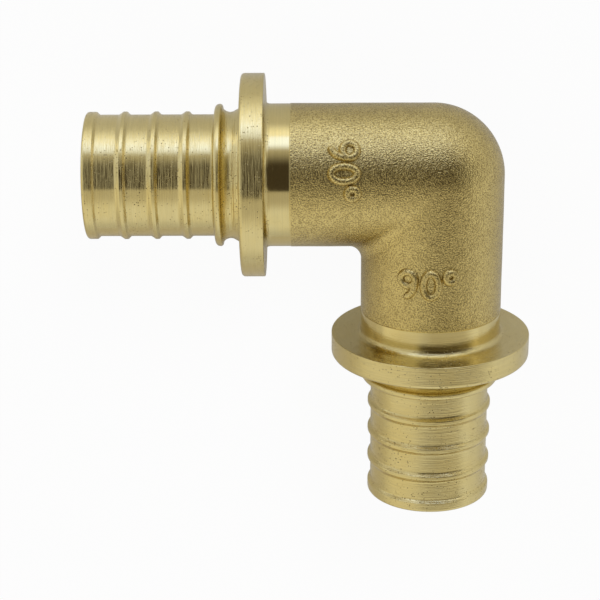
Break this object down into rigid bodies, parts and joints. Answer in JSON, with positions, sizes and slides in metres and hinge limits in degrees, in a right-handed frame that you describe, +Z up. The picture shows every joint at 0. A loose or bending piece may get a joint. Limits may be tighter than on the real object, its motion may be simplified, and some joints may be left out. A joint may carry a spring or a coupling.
{
  "type": "pipe elbow fitting",
  "caption": "Brass 90 degree elbow with two ribbed spigots and collars, joining two equal PE-X pipes with sliding sleeves.",
  "frame": {"origin": "on the floor, under the centre of the bounding box", "axes": "+Z up, with the elbow lying at rest on its corner and the near edges of its two collars; seen from above one leg runs nearly along -X and the other nearly along -Y, and each rises 9.8 degrees toward its tip"},
  "size_m": [0.0639, 0.0639, 0.0286],
  "materials": {
    "brass": "turned satin on the legs, shot-blasted forging at the corner"
  },
  "bodies": {
    "root": {"elbow": "brass"}
  },
  "joints": []
}
